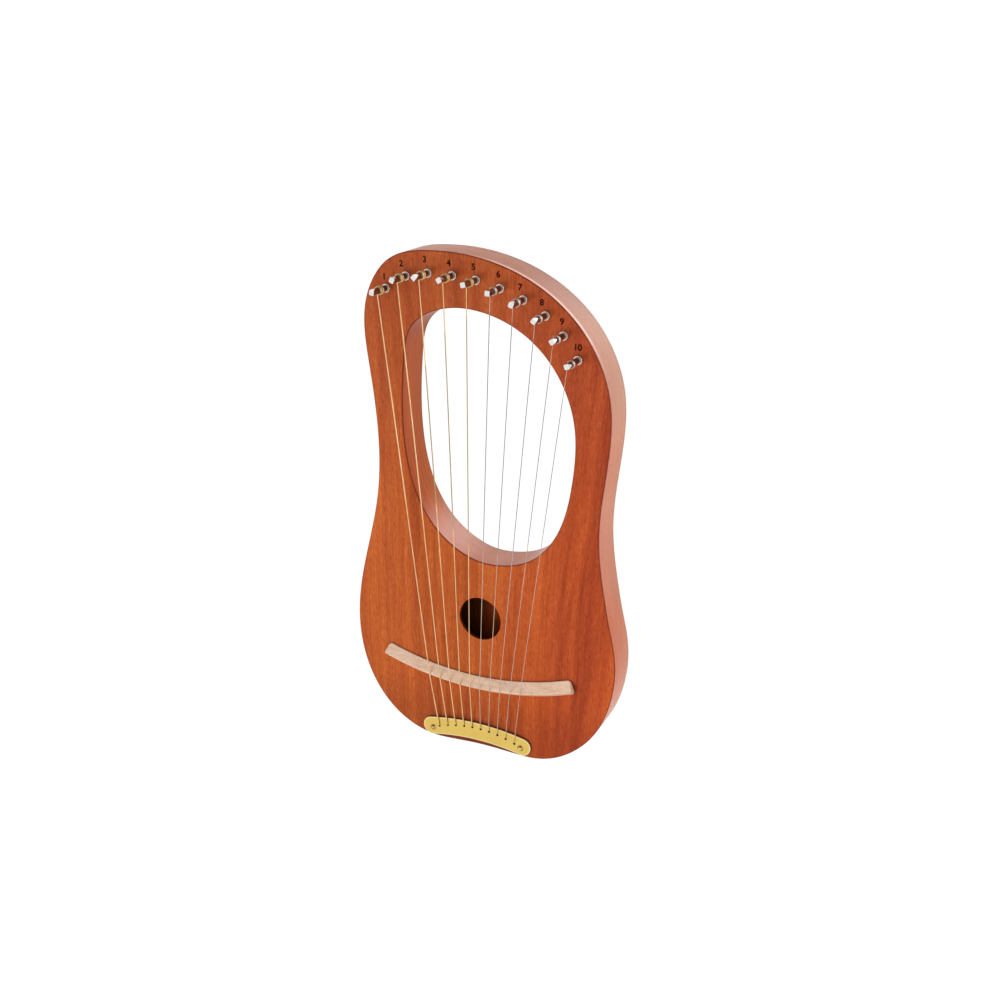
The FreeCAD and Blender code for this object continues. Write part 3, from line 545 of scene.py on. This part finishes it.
def nickel(name, base, rough, turned, shank=None):
    """Nickel plate; turned is the cells per metre of the turning marks along Y."""
    mat = Material(name)
    x, y, z = mat.split(mat.place)
    rings = mat.noise(mat.join((x, y, z), (60, turned, 60)), detail=2)
    smudge = mat.texture((420, 420, 420), detail=3, rough=0.6)
    mat.color = mat.mix(smudge.fade(0.4, 0.72), base, scaled(base, (0.92, 0.92, 0.92)))
    if shank:
        darken_pin(mat, smudge, y, shank)
    # painted highlight on the edges
    mat.cover(mat.edge(0.00035) * 0.7, (0.97, 0.96, 0.95))
    # painted shade in the bore and where the pin and the bushing meet
    deep = mat.contact(0.0018).fade(0.74, 0.36)
    mat.cover(deep * 0.90, (0.035, 0.022, 0.016))
    roughness = smudge.fade(0.35, 0.70, low=rough - 0.03, high=rough + 0.05)
    return mat.finish(Metallic=1.0, Roughness=roughness + rings.fade(0.4, 0.7) * 0.05,
                      Normal=mat.bump(rings, distance=0.00001, strength=0.25))


def wire(name, base, rough, wound=False, metallic=1.0):
    """String wire. Strings run close to Z, so a winding is a fine wave along Z."""
    mat = Material(name)
    x, _, z = mat.split(mat.place)
    cloud = mat.texture((300, 300, 90), detail=3, rough=0.6)
    mat.color = mat.mix(cloud.fade(0.35, 0.7), base, scaled(base, (0.84, 0.78, 0.68)))
    # darker where the strings cross the hand opening: an ellipse over it
    across = ((x - 0.015) * (1 / 0.065)) ** 2.0
    along = ((z - 0.159) * (1 / 0.095)) ** 2.0
    over_opening = (across + along).fade(1.06, 0.94)
    upper = (0.42, 0.46, 0.44) if wound else (0.42, 0.46, 0.56)
    lower = (0.66, 0.72, 0.70) if wound else (0.66, 0.72, 0.84)
    mat.tint(over_opening, by=mat.mix(z.fade(0.110, 0.060), upper, lower))
    # painted reflection: close over the plate the wire takes the colour of the brass
    mat.cover(z.fade(-0.094, -0.100) * 0.75, (0.84, 0.60, 0.17))
    if wound:
        # painted shade between the turns of the winding
        turn = mat.calc("SINE", z * (2 * math.pi / WINDING_PITCH)) * 0.5 + 0.5
        mat.cover((1.0 - turn) * 0.22, scaled(base, (0.55, 0.55, 0.55)))
        normal = mat.bump(turn, distance=0.00002, strength=0.35)
    else:
        drawn = mat.texture((3000, 3000, 160), detail=2)
        normal = mat.bump(drawn, distance=0.00001, strength=0.3)
    return mat.finish(Metallic=metallic, Normal=normal,
                      Roughness=cloud.fade(0.3, 0.7, low=rough - 0.04, high=rough + 0.08))


def ink(name):
    mat = Material(name)
    grain = mat.texture((2400, 2400, 500), detail=2)
    mat.color = mat.mix(grain.fade(0.52, 0.75), (0.020, 0.0025, 0.0010),
                        (0.045, 0.0070, 0.0030))
    return mat.finish(Roughness=grain.fade(0.3, 0.7, low=0.55, high=0.7),
                      Normal=mat.bump(grain, distance=0.00001, strength=0.3),
                      Specular_IOR_Level=0.06)


M_BODY = Mahogany("mahogany_satin").build()
M_BRIDGE = pale_wood(
    "maple_bridge",
    [(0.36, (0.62, 0.400, 0.268)), (0.49, (0.745, 0.515, 0.368)), (0.64, (0.85, 0.63, 0.47))],
    grain=(20, 320, 460), fine=(260, 1500, 1900), rough=0.55, fleck=0.42, coat=0.05,
    end_light_gain=1.22)
M_BLOCK = pale_wood(
    "hardwood_block",
    [(0.3, (0.45, 0.27, 0.14)), (0.55, (0.62, 0.41, 0.23)), (0.8, (0.72, 0.52, 0.33))],
    grain=(18, 220, 60), fine=(120, 1500, 400), rough=0.75, fleck=0.2)
M_BRACE = pale_wood(
    "spruce_brace",
    [(0.3, (0.52, 0.33, 0.17)), (0.5, (0.70, 0.50, 0.29)), (0.75, (0.80, 0.63, 0.42))],
    grain=(8, 900, 520), fine=(60, 2400, 2000), rough=0.78, fleck=0.1)
M_PLATE = brass("brushed_brass", (0.90, 0.635, 0.155), rough=0.30, brush=(160, 400, 2600),
                even=True, bordered=True)
M_SCREW = brass("polished_brass", (1.0, 0.78, 0.30), rough=0.16, brush=(900, 900, 900),
                polished=True)
M_BALL = brass("turned_brass", (0.16, 0.10, 0.05), rough=0.45, brush=(300, 2600, 300))
M_NICKEL = nickel("nickel_pin", (0.95, 0.94, 0.92), rough=0.12, turned=1800,
                  shank=(0.30, 0.27, 0.25))
M_BUSH = nickel("nickel_bushing", (0.88, 0.83, 0.75), rough=0.15, turned=900)
M_BRONZE = wire("bronze_wire", (0.97, 0.70, 0.38), rough=0.34, wound=True)
M_STEEL = wire("steel_wire", (0.64, 0.53, 0.46), rough=0.26)
M_COIL_BRONZE = wire("bronze_coil", (0.84, 0.60, 0.30), rough=0.26, metallic=0.8)
M_COIL_STEEL = wire("steel_coil", (0.74, 0.70, 0.66), rough=0.22, metallic=0.8)
M_INK = ink("label_ink")

PAINTED = {
    "soundboard": M_BODY, "back_board": M_BODY, "outer_rim": M_BODY, "opening_rim": M_BODY,
    "pin_block": M_BLOCK, "tail_block": M_BLOCK,
    "brace_upper": M_BRACE, "brace_lower": M_BRACE, "back_brace": M_BRACE,
    "bridge": M_BRIDGE, "tailpiece_plate": M_PLATE, "tailpiece_screws": M_SCREW,
    "pin_bushings": M_BUSH, "string_ball_ends": M_BALL,
}


def paint(piece, material):
    mesh = NODES[piece].data
    mesh.materials.clear()
    mesh.materials.append(material)
    for polygon in mesh.polygons:
        polygon.material_index = 0


for piece, material in PAINTED.items():
    paint(piece, material)
for number in range(1, STRINGS + 1):
    wound = number <= WOUND_STRINGS
    paint(f"tuning_pin_{number:02d}", M_NICKEL)
    paint(f"string_{number:02d}", M_BRONZE if wound else M_STEEL)
    paint(f"string_coil_{number:02d}", M_COIL_BRONZE if wound else M_COIL_STEEL)

# ----------------------------------------------------------------- string numbers
# X and Z of the numbers beside the pins, from the longest string, number 1, to number 10
NUMBER_PLACES = [(-0.0802, 0.2708), (-0.0650, 0.2816), (-0.0449, 0.2860), (-0.0246, 0.2846),
                 (-0.0042, 0.2832), (0.0159, 0.2792), (0.0333, 0.2712), (0.0505, 0.2614),
                 (0.0664, 0.2488), (0.0774, 0.2310)]
NUMBER_SIZE = 0.0066
NUMBER_SWELL = 0.00022      # added to the outline of the figures
INK_THICKNESS = 0.00002     # each way
INK_LIFT = 0.00003          # in front of the face
WELD_DISTANCE = 2e-6


def text_mesh(text):
    """Mesh of a text lying in the XY plane."""
    curve = bpy.data.curves.new("number_" + text, "FONT")
    curve.body = text
    curve.size = NUMBER_SIZE
    curve.resolution_u = 6
    curve.extrude = INK_THICKNESS
    curve.offset = NUMBER_SWELL
    holder = bpy.data.objects.new("mark_tmp", curve)
    scene.collection.objects.link(holder)
    bpy.context.view_layer.update()
    evaluated = holder.evaluated_get(bpy.context.evaluated_depsgraph_get())
    mesh = bpy.data.meshes.new_from_object(evaluated)
    bpy.data.objects.remove(holder)
    welded = bmesh.new()
    welded.from_mesh(mesh)
    bmesh.ops.remove_doubles(welded, verts=welded.verts, dist=WELD_DISTANCE)
    bmesh.ops.recalc_face_normals(welded, faces=welded.faces)
    welded.to_mesh(mesh)
    welded.free()
    return mesh


def string_number(text, x, z):
    mesh = text_mesh(text)
    # stand the text up so that it looks towards -Y
    mesh.transform(Matrix.Rotation(math.radians(90), 4, "X"))
    mesh.transform(Matrix.Translation((x, FACE_Y - INK_LIFT, z)))
    label = bpy.data.objects.new("string_number_" + text, mesh)
    scene.collection.objects.link(label)
    mesh.materials.clear()
    mesh.materials.append(M_INK)
    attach(label, "harp_body")


for number, (x, z) in enumerate(NUMBER_PLACES, start=1):
    string_number(str(number), x, z)

# ----------------------------------------------------------------- stage
FLOOR_HALF = 6.0
KEY_PLACE = (-0.9, -1.75, -0.36)
KEY_TARGET = (0, 0, 0.05)
KEY_SIZE = 1.0
KEY_POWER = 19


def floor():
    mesh = bpy.data.meshes.new("floor")
    corners = [(-1, -1), (1, -1), (1, 1), (-1, 1)]
    mesh.from_pydata([(x * FLOOR_HALF, y * FLOOR_HALF, LOW_Z) for x, y in corners],
                     [], [(0, 1, 2, 3)])
    plane = bpy.data.objects.new("floor", mesh)
    scene.collection.objects.link(plane)
    mat = Material("floor_white")
    cloud = mat.texture((3, 3, 3), detail=2)
    seen = mat.camera_ray()
    mat.color = mat.mix(cloud, (0.80, 0.80, 0.80), (0.82, 0.82, 0.82))
    # to the camera it only glows, plain white just over full scale
    mat.cover(seen, UNLIT)
    mesh.materials.append(mat.finish(Roughness=0.9, Specular_IOR_Level=0.0,
                                     Emission_Color=(1, 1, 1), Emission_Strength=seen * 1.04))
    plane.visible_glossy = False
    plane.visible_shadow = False


def key_light():
    light = bpy.data.lights.new("key", "AREA")
    light.shape = "RECTANGLE"
    light.size = KEY_SIZE
    light.size_y = KEY_SIZE
    light.energy = KEY_POWER
    lamp = bpy.data.objects.new("key", light)
    scene.collection.objects.link(lamp)
    lamp.location = KEY_PLACE
    aim = Vector(KEY_TARGET) - Vector(KEY_PLACE)
    lamp.rotation_mode = "QUATERNION"
    lamp.rotation_quaternion = aim.to_track_quat("-Z", "Y")
    lamp.visible_camera = False
    lamp.visible_glossy = False


def white_studio():
    """Soft white world: brightest behind the harp, dimmer in the room in front of it."""
    world = bpy.data.worlds.new("soft_white")
    world.use_nodes = True
    sky = Nodes(world.node_tree)
    background = sky.tree.nodes["Background"]
    x, y, z = sky.split(sky.node("TexCoord", output="Generated"))
    behind = y.fade(0.05, 0.75)
    glow = x.fade(-0.24, 0.28) * z.fade(0.04, 0.45)
    level = 0.84 + behind * (0.42 + glow * 3.6)
    level = level + x.fade(0.2, 0.8, high=0.42)                 # brighter on the right
    level = level * z.fade(0.55, 0.80, low=1.0, high=0.22)      # the ceiling is dim
    seen_level = 1.05                                           # plain white to the camera
    strength = sky.mix_float(sky.camera_ray(), level, seen_level)
    sky.put(background.inputs["Strength"], strength)
    sky.put(background.inputs["Color"], (1, 1, 1))
    scene.world = world


floor()
key_light()
white_studio()

scene.view_settings.view_transform = "Standard"
scene.view_settings.look = "None"
scene.view_settings.exposure = 0.0
scene.view_settings.gamma = 1.0

# ----------------------------------------------------------------- camera
CAMERA_PLACE = (0.3994, -0.8146 + FACE_Y, 0.4419)
CAMERA_RIGHT = (0.90628, 0.42266, -0.00341)
CAMERA_BACK = (0.39703, -0.84851, 0.34986)      # from the scene towards the camera


def camera():
    data = bpy.data.cameras.new("camera")
    holder = bpy.data.objects.new("camera", data)
    scene.collection.objects.link(holder)
    data.sensor_fit = "HORIZONTAL"
    data.sensor_width = 36.0
    data.lens = 44.44
    data.clip_start = 0.02
    data.clip_end = 50
    back = Vector(CAMERA_BACK).normalized()
    upward = back.cross(Vector(CAMERA_RIGHT).normalized()).normalized()
    right = upward.cross(back).normalized()
    turn = Matrix((right, upward, back)).transposed().to_4x4()
    holder.matrix_world = Matrix.Translation(CAMERA_PLACE) @ turn
    scene.camera = holder


camera()
